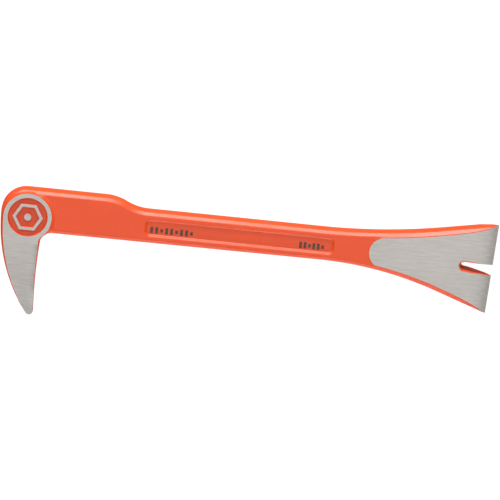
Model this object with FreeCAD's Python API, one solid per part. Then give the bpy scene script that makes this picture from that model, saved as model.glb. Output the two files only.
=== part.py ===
"""Eight-inch pry bar: one steel forging under a powder coat, lying flat on its back face.

+X runs from the round head to the blade, +Y points away from the claw and +Z is the normal of
the front face.  Everything is drawn about the centre of the round head with z = 0 on the mid
plane, and is moved at the end so that the origin is the bottom centre of the whole bar.
All lengths are millimetres and all angles are degrees.
"""
import FreeCAD, Part
import math
import os

os.makedirs("parts", exist_ok=True)

# Body ------------------------------------------------------------------------------------
BODY_HALF = 3.5            # mid plane to the forged front or back face
BEVEL_WIDTH = 1.45         # of the long edges, across the face
BEVEL_DEPTH = 0.75         # of the same bevels, down the side
SIDE_DRAFT = 0.1           # how far the sides lean in from the parting line to the bevel
COAT = 0.15                # powder coat on every face that is not ground

# Outline ---------------------------------------------------------------------------------
HEAD_X = -0.65             # centre of the head's outer round
HEAD_Y = 1.0
HEAD_RADIUS = 10.45
NECK_BOTTOM = -6.2         # lower edge at the claw; it rises slightly to SHANK_BOTTOM
NECK_END = 31.0            # where the deep neck starts to step down
SHANK_START = 49.0         # where that step ends
SHANK_TOP = 7.15
SHANK_BOTTOM = -5.87
FLARE_TOP_START = 120.5    # the upper edge flares on one long round, then runs straight
FLARE_TOP_RADIUS = 258.0
FLARE_TOP_END = 169.0
FLARE_BOTTOM_START = 120.5
FLARE_BOTTOM_RADIUS = 146.0
FLARE_BOTTOM_END = 169.0
TIP_TOP_X = 192.1          # the cutting edge is a little askew
TIP_BOTTOM_X = 190.05
TIP_MARGIN = 9.0           # the blank is this much longer before its end is cut

# Claw ------------------------------------------------------------------------------------
CLAW_FILLET = 4.6          # between the claw and the underside of the neck
CLAW_INNER_X = 5.9         # inner edge at the fillet
CLAW_WAIST = (5.35, -26.0)  # the inner edge is slightly hollow
CLAW_TIP = (4.15, -40.25)  # centre of the round tip
CLAW_TIP_RADIUS = 1.65

# Raised face of the head and claw ----------------------------------------------------------
BOSS_HALF = 4.0            # mid plane to the ground face of the head and claw
BOSS_RADIUS = 10.68        # round part, as drawn at the foot of its edge
BOSS_INSET = 0.55          # of the ground face from the drawn edge
BOSS_FLARE = 0.5           # how much wider the raised face is per millimetre down
BOSS_FILLET = 2.5          # where the round of the head runs into the claw
BOSS_LIP = 0.3             # least distance from the raised face to the outline
BOSS_FOOT = 2.0            # height from which the raised face is drawn
BOSS_STRAIGHT = 1.0        # straight stretch between its fillet and the claw's inner edge
CLAW_GRIND_START = -12.0   # from here the ground face falls towards the tip
CLAW_GRIND_BEND = 0.35     # share of the fall in its first half
CLAW_TIP_HALF = 2.6
POCKET_RADIUS = 8.05
POCKET_DRAFT = 0.3
POCKET_DEPTH = 1.1
EMBLEM_FLATS = 11.2        # plain six-sided ring across its flats
EMBLEM_WIDTH = 1.5
EMBLEM_DOT_RADIUS = 1.6

# Grip panel --------------------------------------------------------------------------------
PANEL_START = 48.0
PANEL_END = 126.0
PANEL_BOTTOM = -3.2
PANEL_TOP = 4.2
PANEL_SLOPE = 1.0          # width of its sloping wall
PANEL_DEPTH = 0.6
PANEL_CORNER = 2.4
PANEL_COAT = 0.6           # share of the coat's thickness taken from the panel's width
MARK_HEIGHT = 2.6
MARK_SHORT = 0.55          # height of every third stroke as a share of the others
MARK_Y = -0.3
MARK_THICKNESS = 0.1
MARK_STROKE = 1.15
LEFT_MARK = (50.4, 67.9, 9)     # start, end and number of strokes
RIGHT_MARK = (111.6, 121.8, 6)

# Blade -------------------------------------------------------------------------------------
PAD_HALF = 3.6             # mid plane to the ground pad of the blade
PAD_START = 139.85         # end of the pad's round heel
PAD_HEEL_RADIUS = 7.15
PAD_HEEL_Y = -0.2
PAD_LEDGE = 0.05           # from the foot of the pad's side to the bevel's edge
FRONT_FALL = (             # of the ground face: distance from the cutting edge, and height
    (16.0, PAD_HALF), (9.0, 3.45), (4.5, 3.15), (1.8, 2.75), (0.0, 2.3))
BACK_FALL = ((11.0, -PAD_HALF), (6.8, -2.45), (2.6, -1.0), (0.0, 1.1))
NOTCH_ROOT = (179.7, -2.1)  # centre of the nail notch's round root
NOTCH_RADIUS = 1.75
NOTCH_TOP_SLOPE = -0.036
NOTCH_BOTTOM_SLOPE = -0.148
NOTCH_CHAMFER = 0.6
NOTCH_CHAMFER_DEPTH = 0.4

# Zones ---------------------------------------------------------------------------------------
HEAD_END = 12.6
NECK_CUT = 47.0
SHANK_CUT = 128.0
POCKET_REACH = 1.0         # how far past the pocket's edge its lining is looked for
NOTCH_REACH = 1.8          # the same for the nail notch

# Construction --------------------------------------------------------------------------------
FAR = 400.0                # larger than the bar in every direction
OVERDRAW = 0.6             # how far shapes are drawn past the surface that cuts them
OVERLAP = 0.1              # of shapes that are joined face to face


def v(x, y, z=0.0):
    return FreeCAD.Vector(x, y, z)


def line(start, end):
    return Part.LineSegment(v(*start), v(*end)).toShape()


def arc(start, middle, end):
    return Part.Arc(v(*start), v(*middle), v(*end)).toShape()


def on_circle(centre, radius, degrees):
    angle = math.radians(degrees)
    return (centre[0] + radius * math.cos(angle), centre[1] + radius * math.sin(angle))


def round_arc(centre, radius, start, end):
    """Arc between two directions in degrees, the short way from start to end."""
    middle = (start + end) / 2
    points = [on_circle(centre, radius, angle) for angle in (start, middle, end)]
    return arc(*points)


def claw_edges(inner_start, left, y):
    """Claw's inner edge, round tip and outer edge, which ends upright at (left, y)."""
    run = left - CLAW_TIP[0]
    drop = y - CLAW_TIP[1]
    radius = (run ** 2 + drop ** 2 - CLAW_TIP_RADIUS ** 2) / (-2 * (run + CLAW_TIP_RADIUS))
    centre = (left + radius, y)
    towards_tip = math.degrees(math.atan2(CLAW_TIP[1] - centre[1], CLAW_TIP[0] - centre[0]))
    tip_right = on_circle(CLAW_TIP, CLAW_TIP_RADIUS, 0)
    return [
        arc(inner_start, CLAW_WAIST, tip_right),
        round_arc(CLAW_TIP, CLAW_TIP_RADIUS, 0, towards_tip),
        round_arc(centre, radius, towards_tip, -180),
    ]


def shoulder_edges(head_top):
    """Two equal tangent rounds that step the upper edge down from the neck to the shank."""
    run = SHANK_START - NECK_END
    drop = head_top - SHANK_TOP
    turn = 2 * math.degrees(math.atan2(drop, run))
    radius = run / (2 * math.sin(math.radians(turn)))
    return [
        round_arc((NECK_END, head_top - radius), radius, 90, 90 - turn),
        round_arc((SHANK_START, SHANK_TOP + radius), radius, -90 - turn, -90),
    ]


def flare_point(start, radius, end):
    """Rise, slope and direction in degrees at the end of a round that starts level."""
    turn = math.asin((end - start) / radius)
    return radius * (1 - math.cos(turn)), math.tan(turn), math.degrees(turn)


def lower_tangent(fillet_centre, flare_centre):
    """Slope in degrees of the lower edge, which touches the claw's fillet and the flare."""
    run = flare_centre[0] - fillet_centre[0]
    rise = flare_centre[1] - fillet_centre[1]
    gap = (CLAW_FILLET - FLARE_BOTTOM_RADIUS) / math.hypot(run, rise)
    return math.degrees(math.atan2(rise, run) - math.asin(gap))


def outline():
    """Closed outline of the bar at its parting line, clockwise from the top of the head."""
    head_top = HEAD_Y + HEAD_RADIUS
    far_x = TIP_TOP_X + TIP_MARGIN
    rise, top_slope, top_turn = flare_point(FLARE_TOP_START, FLARE_TOP_RADIUS, FLARE_TOP_END)
    fall, bottom_slope, bottom_turn = flare_point(
        FLARE_BOTTOM_START, FLARE_BOTTOM_RADIUS, FLARE_BOTTOM_END)
    top_end = (FLARE_TOP_END, SHANK_TOP + rise)
    top_far = (far_x, top_end[1] + top_slope * (far_x - top_end[0]))
    bottom_end = (FLARE_BOTTOM_END, SHANK_BOTTOM - fall)
    bottom_far = (far_x, bottom_end[1] - bottom_slope * (far_x - bottom_end[0]))
    top_centre = (FLARE_TOP_START, SHANK_TOP + FLARE_TOP_RADIUS)
    bottom_centre = (FLARE_BOTTOM_START, SHANK_BOTTOM - FLARE_BOTTOM_RADIUS)
    fillet_centre = (CLAW_INNER_X + CLAW_FILLET, NECK_BOTTOM - CLAW_FILLET)
    normal = 90 + lower_tangent(fillet_centre, bottom_centre)
    line_start = on_circle(bottom_centre, FLARE_BOTTOM_RADIUS, normal)
    line_end = on_circle(fillet_centre, CLAW_FILLET, normal)
    edges = [line((HEAD_X, head_top), (NECK_END, head_top))]
    edges += shoulder_edges(head_top)
    edges += [
        line((SHANK_START, SHANK_TOP), (FLARE_TOP_START, SHANK_TOP)),
        round_arc(top_centre, FLARE_TOP_RADIUS, -90, -90 + top_turn),
        line(top_end, top_far),
        line(top_far, bottom_far),
        line(bottom_far, bottom_end),
        round_arc(bottom_centre, FLARE_BOTTOM_RADIUS, 90 - bottom_turn, normal),
        line(line_start, line_end),
        round_arc(fillet_centre, CLAW_FILLET, normal, 180),
    ]
    edges += claw_edges((CLAW_INNER_X, fillet_centre[1]), HEAD_X - HEAD_RADIUS, HEAD_Y)
    edges.append(round_arc((HEAD_X, HEAD_Y), HEAD_RADIUS, 180, 90))
    return Part.Wire(Part.__sortEdges__(edges))


def boss_outline():
    """Closed outline of the head and claw alone, clockwise from the claw's inner edge."""
    fillet_x = CLAW_INNER_X + BOSS_FILLET
    fillet_y = -math.sqrt((BOSS_RADIUS + BOSS_FILLET) ** 2 - fillet_x ** 2)
    towards = math.degrees(math.atan2(fillet_y, fillet_x))
    inner_start = (CLAW_INNER_X, fillet_y - BOSS_STRAIGHT)
    edges = [line((CLAW_INNER_X, fillet_y), inner_start)]
    edges += claw_edges(inner_start, -BOSS_RADIUS, 0)
    edges += [
        round_arc((0, 0), BOSS_RADIUS, 180, towards),
        round_arc((fillet_x, fillet_y), BOSS_FILLET, towards + 180, 180),
    ]
    return Part.Wire(Part.__sortEdges__(edges))


def inset(wire, distance):
    """The same closed wire moved inwards, or outwards for a negative distance."""
    return wire if distance == 0 else wire.makeOffset2D(-distance, 0)


def at_height(wire, z):
    moved = wire.copy()
    moved.translate(v(0, 0, z))
    return moved


def slab(wire, low, high):
    return Part.Face(at_height(wire, low)).extrude(v(0, 0, high - low))


def stack(layers):
    """Solid with straight walls between the (wire, height) layers, bottom to top."""
    wires = [at_height(wire, z) for wire, z in layers]
    return Part.makeLoft(wires, True, True)


def box(low, high):
    size = [b - a for a, b in zip(low, high)]
    return Part.makeBox(*size, v(*low))


def polygon(points):
    return Part.makePolygon([v(*point) for point in points + points[:1]])


def mirrored(shape):
    """The same shape on the other face of the bar."""
    return shape.mirror(v(0, 0, 0), v(0, 0, 1))


def both_faces(shape):
    return [shape, mirrored(shape)]


def blank(coat):
    """Bevelled bar with sides that lean in from the parting line, coat thinner all round."""
    wire = outline()
    half = BODY_HALF - coat
    depth = BEVEL_DEPTH * (1 - coat / BEVEL_WIDTH)
    side = half - depth
    mid = inset(wire, coat)
    edge = inset(wire, coat + SIDE_DRAFT)
    face = inset(wire, SIDE_DRAFT + BEVEL_WIDTH)
    layers = [(face, -half), (edge, -side), (mid, 0), (edge, side), (face, half)]
    return stack(layers)


def boss(coat):
    """Raised face of the head and claw, drawn higher than its ground surface."""
    wire = boss_outline()
    low = BOSS_FOOT
    high = BOSS_HALF + OVERDRAW
    low_inset = BOSS_INSET - BOSS_FLARE * (BOSS_HALF - low)
    high_inset = BOSS_INSET + BOSS_FLARE * (high - BOSS_HALF)
    raised = stack([(inset(wire, low_inset + coat), low), (inset(wire, high_inset + coat), high)])
    return raised.common(slab(inset(outline(), BOSS_LIP + coat), 0, high))


def pad_outline():
    """Outline of the blade's raised pad at the height of the forged face."""
    heel_x = PAD_START + PAD_HEEL_RADIUS
    rest = Part.makePlane(TIP_TOP_X + TIP_MARGIN / 2 - heel_x, FAR, v(heel_x, -FAR / 2))
    disc = Part.Face(Part.Wire(Part.makeCircle(PAD_HEEL_RADIUS, v(heel_x, PAD_HEEL_Y))))
    fan = disc.fuse(rest).removeSplitter()
    inner = Part.Face(inset(outline(), SIDE_DRAFT + BEVEL_WIDTH + PAD_LEDGE))
    return inner.common(fan).removeSplitter().Faces[0].OuterWire


def pad(coat):
    """Raised pad of the blade, with sides that carry on the slope of the long bevels."""
    wire = pad_outline()
    base = BODY_HALF - coat
    slope = BEVEL_DEPTH / BEVEL_WIDTH
    high = PAD_HALF + OVERDRAW / 2
    low = base - OVERDRAW
    raised = stack([(wire, base), (inset(wire, (high - base) / slope), high)])
    return raised.fuse(slab(wire, low, base))


def fall_cutter(fall, side):
    """Everything outside one ground face of the blade, for the front (+1) or the back (-1)."""
    run = [(-distance, 0, height) for distance, height in fall]
    above = [(TIP_MARGIN * 2, 0, side * FAR), (-fall[0][0], 0, side * FAR)]
    tail = [(TIP_MARGIN * 2, 0, fall[-1][1])]
    face = Part.Face(polygon(run + tail + above))
    return along_tip(face.extrude(v(0, FAR, 0)))


def along_tip(shape):
    """Place a shape drawn square to the blade's edge, with its edge at x = 0."""
    ground = tip_line()
    lean = math.degrees(math.atan2(ground[1][0] - ground[0][0], ground[1][1] - ground[0][1]))
    shape.translate(v(0, -FAR / 2, 0))
    shape.rotate(v(0, 0, 0), v(0, 0, 1), -lean)
    shape.translate(v(*ground[0]))
    return shape


def tip_line():
    """Lower and upper ends of the cutting edge, on the outline."""
    ends = []
    for x, sign in ((TIP_BOTTOM_X, -1), (TIP_TOP_X, 1)):
        probe = line((x, 0), (x, sign * FAR))
        hits = probe.common(Part.Face(outline())).Vertexes
        ends.append((x, max(sign * vertex.Y for vertex in hits) * sign))
    return ends


def tip_cutter():
    return along_tip(Part.makeBox(FAR, FAR, FAR, v(0, 0, -FAR / 2)))


def boss_cutter():
    """Everything above the ground face of the head and claw, which falls towards the tip."""
    low_y = CLAW_TIP[1] - CLAW_TIP_RADIUS
    middle = BOSS_HALF - CLAW_GRIND_BEND * (BOSS_HALF - CLAW_TIP_HALF)
    profile = [
        (0, FAR, BOSS_HALF),
        (0, CLAW_GRIND_START, BOSS_HALF),
        (0, (CLAW_GRIND_START + low_y) / 2, middle),
        (0, low_y, CLAW_TIP_HALF),
        (0, -FAR, CLAW_TIP_HALF),
        (0, -FAR, FAR),
        (0, FAR, FAR),
    ]
    cutter = Part.Face(polygon(profile)).extrude(v(NECK_END + FAR, 0, 0))
    cutter.translate(v(-FAR, 0, 0))
    return cutter


def pad_cutter():
    return box((SHANK_CUT, -FAR, PAD_HALF), (FAR, FAR, FAR))


def panel_wire(grow):
    """Rounded rectangle of the grip panel's mouth, or of its floor for a negative grow."""
    low_x = PANEL_START - grow
    high_x = PANEL_END + grow
    low_y = PANEL_BOTTOM - grow
    high_y = PANEL_TOP + grow
    radius = PANEL_CORNER + grow
    left = low_x + radius
    right = high_x - radius
    lower = low_y + radius
    upper = high_y - radius
    edges = [
        line((left, low_y), (right, low_y)),
        round_arc((right, lower), radius, -90, 0),
        line((high_x, lower), (high_x, upper)),
        round_arc((right, upper), radius, 0, 90),
        line((right, high_y), (left, high_y)),
        round_arc((left, upper), radius, 90, 180),
        line((low_x, upper), (low_x, lower)),
        round_arc((left, lower), radius, 180, 270),
    ]
    return Part.Wire(edges)


def panel_cutter(coat):
    """Shallow panel with sloping walls; the steel's own panel is larger by the coat."""
    rate = PANEL_SLOPE / PANEL_DEPTH
    floor = BODY_HALF - PANEL_DEPTH
    side = coat * PANEL_COAT
    high = BODY_HALF + OVERDRAW
    floor_wire = panel_wire(side - PANEL_SLOPE)
    mouth_wire = panel_wire(side + rate * (high - BODY_HALF))
    return stack([(floor_wire, floor - coat), (mouth_wire, high)])


def pocket_cutter(coat):
    """Round pocket in the head's face, slightly narrower at its floor."""
    floor = BOSS_HALF - POCKET_DEPTH
    rate = POCKET_DRAFT / POCKET_DEPTH
    high = BOSS_HALF + OVERDRAW
    low_radius = POCKET_RADIUS - POCKET_DRAFT + coat
    high_radius = POCKET_RADIUS + coat + rate * (high - BOSS_HALF)
    return Part.makeCone(low_radius, high_radius, high - floor + coat, v(0, 0, floor - coat))


def notch_wire():
    """Nail notch with a round root, open past the cutting edge."""
    far_x = TIP_TOP_X + TIP_MARGIN
    upper = 90 + math.degrees(math.atan(NOTCH_TOP_SLOPE))
    lower = 270 + math.degrees(math.atan(NOTCH_BOTTOM_SLOPE))
    start = on_circle(NOTCH_ROOT, NOTCH_RADIUS, upper)
    end = on_circle(NOTCH_ROOT, NOTCH_RADIUS, lower)
    far_top = (far_x, start[1] + NOTCH_TOP_SLOPE * (far_x - start[0]))
    far_bottom = (far_x, end[1] + NOTCH_BOTTOM_SLOPE * (far_x - end[0]))
    edges = [
        round_arc(NOTCH_ROOT, NOTCH_RADIUS, upper, lower),
        line(end, far_bottom),
        line(far_bottom, far_top),
        line(far_top, start),
    ]
    return Part.Wire(edges)


def notch_cutter(coat):
    """Notch with a chamfer on both faces; the steel's own notch is larger by the coat."""
    wire = inset(notch_wire(), -coat)
    rate = NOTCH_CHAMFER / NOTCH_CHAMFER_DEPTH
    low = PAD_HALF - NOTCH_CHAMFER_DEPTH - coat
    high = PAD_HALF + OVERDRAW
    chamfer = stack([(wire, low), (inset(wire, -rate * (high - low)), high)])
    cutter = slab(wire, -low - OVERLAP, low + OVERLAP)
    return cutter.fuse(both_faces(chamfer))


def forging(coat):
    """The whole bar before grinding, coat thinner than its painted surface."""
    raised = both_faces(boss(coat)) + both_faces(pad(coat))
    body = blank(coat).fuse(raised)
    hollows = both_faces(panel_cutter(coat)) + both_faces(pocket_cutter(coat))
    return body.cut(hollows + [notch_cutter(coat)])


def ground(body):
    """Cut the flat faces, the blade's two falls and its square end."""
    cutters = both_faces(boss_cutter()) + both_faces(pad_cutter())
    cutters += [fall_cutter(FRONT_FALL, 1), fall_cutter(BACK_FALL, -1), tip_cutter()]
    return body.cut(cutters)


def emblem(coat):
    """Plain six-sided ring round a dot, standing on the pocket's floor."""
    floor = BOSS_HALF - POCKET_DEPTH - coat
    rings = []
    for flats in (EMBLEM_FLATS, EMBLEM_FLATS - 2 * EMBLEM_WIDTH):
        radius = flats / math.sqrt(3)
        points = [on_circle((0, 0), radius, 60 * corner) for corner in range(6)]
        rings.append(slab(polygon(points), floor, BOSS_HALF))
    dot = Part.makeCylinder(EMBLEM_DOT_RADIUS, BOSS_HALF - floor, v(0, 0, floor))
    return Part.makeCompound([rings[0].cut(rings[1]), dot])


def mark(start, end, count):
    """Row of plain upright strokes, every third one short, on the panel's floor."""
    floor = BODY_HALF - PANEL_DEPTH
    pitch = (end - start - MARK_STROKE) / (count - 1)
    strokes = []
    for number in range(count):
        height = MARK_HEIGHT * (MARK_SHORT if number % 3 == 2 else 1.0)
        low_x = start + pitch * number
        low = (low_x, MARK_Y - height / 2, floor)
        high = (low_x + MARK_STROKE, MARK_Y + height / 2, floor + MARK_THICKNESS)
        strokes.append(box(low, high))
    return Part.makeCompound(strokes)


def zones():
    """Boxes that share the bar out, face to face."""
    return {
        "claw": box((-FAR, -FAR, -FAR), (HEAD_END, CLAW_GRIND_START, FAR)),
        "head": box((-FAR, CLAW_GRIND_START, -FAR), (HEAD_END, FAR, FAR)),
        "neck": box((HEAD_END, -FAR, -FAR), (NECK_CUT, FAR, FAR)),
        "shank": box((NECK_CUT, -FAR, -FAR), (SHANK_CUT, FAR, FAR)),
        "blade": box((SHANK_CUT, -FAR, -FAR), (FAR, FAR, FAR)),
    }


def loose_lining(zone):
    """Where a zone's coat lines a hollow of its own, away from the outer coat."""
    if zone == "head":
        pocket = Part.makeCylinder(POCKET_RADIUS + POCKET_REACH, FAR)
        return {"front_pocket_coat": pocket, "back_pocket_coat": mirrored(pocket)}
    if zone == "blade":
        return {"notch_coat": slab(inset(notch_wire(), -NOTCH_REACH), -FAR, FAR)}
    return {}


def solid_of(shape):
    """The shape as one solid, or as a compound where it has several."""
    shape = shape.removeSplitter()
    return shape.Solids[0] if len(shape.Solids) == 1 else Part.makeCompound(shape.Solids)


def build():
    painted = ground(forging(0))
    steel = ground(forging(COAT))
    coat = painted.cut(steel)
    nodes = {}
    for zone, space in zones().items():
        nodes[zone] = steel.common(space)
        film = coat.common(space)
        for name, region in loose_lining(zone).items():
            nodes[name] = film.common(region)
            film = film.cut(region)
        nodes[zone + "_coat"] = film
    front = emblem(COAT)
    for name, shape in (("front_emblem", front), ("back_emblem", mirrored(front))):
        nodes[name] = shape
        pocket_coat = name.replace("emblem", "pocket_coat")
        nodes[pocket_coat] = nodes[pocket_coat].cut(shape)
    nodes["left_mark"] = mark(*LEFT_MARK)
    nodes["right_mark"] = mark(*RIGHT_MARK)
    return nodes, painted.optimalBoundingBox(True, False)


def main():
    nodes, bounds = build()
    centre = bounds.Center
    for name, shape in nodes.items():
        part = solid_of(shape)
        part.translate(v(-centre.x, -centre.y, -bounds.ZMin))
        part.exportStep("parts/" + name + ".step")
        print(name, len(part.Solids), part.isValid(), round(part.Volume, 2))
    print("whole bar", bounds)


main()
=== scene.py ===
"""Pry bar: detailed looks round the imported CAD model.

The bar's two faces are one plan of triangles lifted to smooth height functions, so that forged,
painted and ground surfaces meet along exact lines.  Lengths in this file are millimetres in the
part's own design frame, about the centre of the head's pocket, until to_world() makes them
metres.
"""
import math

import bpy
import numpy as np
from mathutils import Matrix, Vector
from mathutils.geometry import delaunay_2d_cdt
from mathutils.kdtree import KDTree


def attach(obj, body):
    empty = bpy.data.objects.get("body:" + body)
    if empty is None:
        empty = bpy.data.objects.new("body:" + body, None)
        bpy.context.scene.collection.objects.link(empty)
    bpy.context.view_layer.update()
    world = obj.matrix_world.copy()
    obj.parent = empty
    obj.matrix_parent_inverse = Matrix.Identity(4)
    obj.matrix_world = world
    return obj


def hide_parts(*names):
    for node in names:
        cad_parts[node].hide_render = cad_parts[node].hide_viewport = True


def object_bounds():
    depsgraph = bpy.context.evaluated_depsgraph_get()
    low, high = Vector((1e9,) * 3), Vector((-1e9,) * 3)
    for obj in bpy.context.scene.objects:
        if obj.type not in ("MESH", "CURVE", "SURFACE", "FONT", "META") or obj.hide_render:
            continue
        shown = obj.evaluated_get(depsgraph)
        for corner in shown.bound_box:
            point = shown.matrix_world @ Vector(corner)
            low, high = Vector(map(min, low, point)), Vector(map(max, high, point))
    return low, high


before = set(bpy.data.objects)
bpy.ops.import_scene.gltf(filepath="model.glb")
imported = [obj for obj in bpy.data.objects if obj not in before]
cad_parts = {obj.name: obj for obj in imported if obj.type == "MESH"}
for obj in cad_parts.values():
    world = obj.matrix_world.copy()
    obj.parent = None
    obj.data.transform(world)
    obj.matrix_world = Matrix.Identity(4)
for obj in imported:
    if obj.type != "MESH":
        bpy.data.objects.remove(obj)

CAD_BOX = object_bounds()

# Body -------------------------------------------------------------------------
BODY_HALF = 3.5
BEVEL_SOFT = 0.12          # width over which bevel and face blend
BEVEL_EDGE = 2.75          # height where the long bevels start
BEVEL_RATE = 0.75 / 1.45   # their rise per millimetre
LIP = 0.1                  # lean of the sides from the parting line to the bevel
EDGE_DROP = 0.07           # rounding between side and bevel
EDGE_FADE = 0.06
EDGE_LIMIT = 0.2           # keeps the rounding finite outside the bar
LIP_HEIGHT = BEVEL_EDGE - EDGE_DROP
LIP_REACH = 0.15           # edges this close below it are still rounded over
WALL_TILT = 0.04           # how far the sides' normals tip towards the nearer face
FILM = 0.15                # powder coat

# Outline ----------------------------------------------------------------------
HEAD = (-0.65, 1.0)
HEAD_RADIUS = 10.45
NECK_BOTTOM = -6.2         # at the claw's fillet; the lower edge rises slightly from here
NECK_END = 31.0
SHANK_START = 49.0
SHANK_TOP = 7.15
SHANK_BOTTOM = -5.87
FLARE_TOP = (120.5, 258.0, 169.0)       # start, radius, end
FLARE_BOTTOM = (120.5, 146.0, 169.0)
TIP_TOP_X = 192.1
TIP_BOTTOM_X = 190.05
TIP_MARGIN = 9.0

# Claw -------------------------------------------------------------------------
CLAW_FILLET = 4.6
CLAW_INNER_X = 5.9
CLAW_WAIST = (5.35, -26.0)
CLAW_TIP = (4.15, -40.25)
CLAW_TIP_RADIUS = 1.65

# Raised face of the head and claw ---------------------------------------------
BOSS_HALF = 4.0
BOSS_RADIUS = 10.68
BOSS_INSET = 0.55
BOSS_STEEP = 2.0           # rise of its side on the claw
BOSS_SOFT = 0.5            # and where it runs down on to the neck
BOSS_FILLET = 2.5
BOSS_STRAIGHT = 1.0        # straight stretch between its fillet and the claw's inner edge
BOSS_BLEND = 0.2           # width over which its side blends into the bar
BOSS_CAP = 0.6             # how far above the ground face its side is followed
SOFT_GAP = (0.9, 2.4)      # room beside it over which its side turns from steep to soft
GRIND_START = -12.0
GRIND_LENGTH = GRIND_START - CLAW_TIP[1] + CLAW_TIP_RADIUS
GRIND_FALL = (0.56, 0.84)  # linear and square parts of the fall towards the tip
ROLL_START = 1.9           # the claw's ground face rolls down to its inner edge from here
ROLL_RATE = 0.038
ROLL_TOP = (-10.5, -14.5)  # the roll fades in and out along the claw
ROLL_BOTTOM = (-39.0, -30.0)
NOSE = 0.6                 # width of the worn rounding at the claw's tip
NOSE_DEPTH = 0.3
POCKET_RADIUS = 8.05
POCKET_RATE = 1.1 / 0.3
POCKET_FLOOR = 2.9
POCKET_SOFT = 0.25
POCKET_REACH = 0.8         # how far past its edge the coat counts as its lining
RING_FLATS = 11.2
RING_WIDTH = 1.5
RING_CORNERS = (0.8, 0.7, 0.5, 0.4)     # outer coat, outer steel, inner steel, inner coat
RING_SOFT = 0.02           # broken edges on its top
RING_FOOT = 0.3            # depth of its steel below the pocket's floor
DOT_RADIUS = 1.6
SUNK = 0.05                # how deep small pieces stand in the surface below them

# Grip panel -------------------------------------------------------------------
PANEL_LOW = (48.0, -3.2)
PANEL_HIGH = (126.0, 4.2)
PANEL_CORNER = 2.4
PANEL_DEPTH = 0.6
PANEL_WALL = (-0.15, 1.15)
LEFT_MARK = (50.4, 67.9, 9)            # start, end, number of strokes
RIGHT_MARK = (111.6, 121.8, 6)
MARK_HEIGHT = 2.6
MARK_SHORT = 0.55
MARK_Y = -0.3
MARK_STROKE = 1.15
MARK_THICKNESS = 0.1
MARK_CORNER = 0.22
MARK_SOFT = 0.04

# Blade ------------------------------------------------------------------------
PAD_HALF = 3.6
PAD_LIMIT = 0.5            # the pad's painted height above the body, before it is ground
HEEL_SOFT = 0.06
HEEL_RADIUS = 7.15
HEEL = (139.85 + HEEL_RADIUS, -0.2)
FRONT_FALL = ((16.0, PAD_HALF), (9.0, 3.45), (4.5, 3.15), (1.8, 2.75), (0.0, 2.3))
BACK_FALL = ((11.0, PAD_HALF), (6.8, 2.45), (2.6, 1.0), (0.0, -1.1))
FRONT_SOFT = 0.12          # widths over which their flats join
BACK_SOFT = 0.05
NOTCH_ROOT = (179.7, -2.1)
NOTCH_RADIUS = 1.75
NOTCH_SLOPES = (-0.036, -0.148)
NOTCH_FOOT = 3.3
NOTCH_RATE = 2.0 / 3.0
NOTCH_LENGTH = 24.0        # drawn well past the cutting edge
NOTCH_REACH = 1.6          # how far from its wall the coat counts as its lining

# Zones ------------------------------------------------------------------------
HEAD_END = 12.6
NECK_CUT = 47.0
SHANK_CUT = 128.0
CUTS = ((HEAD_END, -11, 14), (NECK_CUT, -8, 10), (SHANK_CUT, -8, 10))   # x, lower y, upper y
CLAW_CUT_START = -14
BOSS_SIDE = 18.0           # the head's and claw's outline matters up to here
BLADE_SIDE = 100.0         # everything beyond is ground as the blade is
NOTCH_SIDE = 170.0         # the notch matters from here on
HEAD_FIELD = ((-12.5, -43.0), (13.5, 12.5))     # boxes in which ground lines are looked for
BLADE_FIELD = ((138.0, -25.0), (194.0, 19.0))

# Samples ----------------------------------------------------------------------
FAR = 50.0                 # longer than any distance that matters
BATCH = 400                # points measured at a time
TOUCH = 1e-3               # what counts as lying on a line
STEP = 0.55                # between samples along an edge
GRID = 1.7                 # between samples inside a face
GRID_GAP = 0.45            # share of it that grid points keep from any line
GRID_MARGIN = 0.5          # and how far they keep inside the bar
FIELD_GRID = 0.3           # of the boxes in which ground lines are looked for
FIELD_MARGIN = 0.6         # how far past the bar they are followed
GROUND_STEP = 0.45         # between samples along a ground line
COVER_LIMITS = (-0.3, 0.6) # so that a few deep faces don't decide for their surface
RING_SLACK = 0.02          # rings drawn inwards end where they come nearer to an edge
BOSS_GAP = 0.75            # room that rows beside the boss keep from the outline's rows
ROWS = (0.0, 0.05, 0.25, 0.5, 0.75, 0.95, 1.0)  # of the side walls, as shares of their height

# Distances from their own lines at which extra rows of points are drawn.
EDGE_RINGS = (0.17, 0.34, 0.7, 1.1, 1.32, 1.43, 1.55, 1.67, 1.8, 2.1)
BOSS_RINGS = (-2.0, -1.5, -1.0, -0.6, -0.2, 0.1, 0.35)
POCKET_RINGS = (0.12, 0.22, 0.32, 0.45)
PANEL_RINGS = (-0.15, 0.05, 0.3, 0.5, 0.7, 0.95, 1.15)
HEEL_RINGS = (0.12, 0.0, -0.12)
TIP_LINES = (0.6, 1.2, 1.8, 2.43, 2.6, 2.77, 3.6, 4.5, 5.4, 6.65, 6.95, 9.0, 11.0, 16.0)
ROLL_LINES = (0.0, 0.8, 1.6, 2.4)
NOTCH_RINGS = (0.3, 0.6)


# Plane geometry ---------------------------------------------------------------

def on_circle(centre, radius, degrees):
    angle = np.radians(degrees)
    return np.stack([centre[0] + radius * np.cos(angle), centre[1] + radius * np.sin(angle)], -1)


def arc(centre, radius, start, end, step=STEP):
    """Samples of an arc, its end left out."""
    count = max(2, int(math.ceil(math.radians(abs(end - start)) * radius / step)))
    return on_circle(centre, radius, np.linspace(start, end, count + 1)[:-1])


def line(start, end, step=STEP):
    """Samples of a line, its end left out."""
    start = np.array(start, float)
    end = np.array(end, float)
    count = max(1, int(math.ceil(np.linalg.norm(end - start) / step)))
    share = np.linspace(0, 1, count + 1)[:-1, None]
    return start + (end - start) * share


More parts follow.
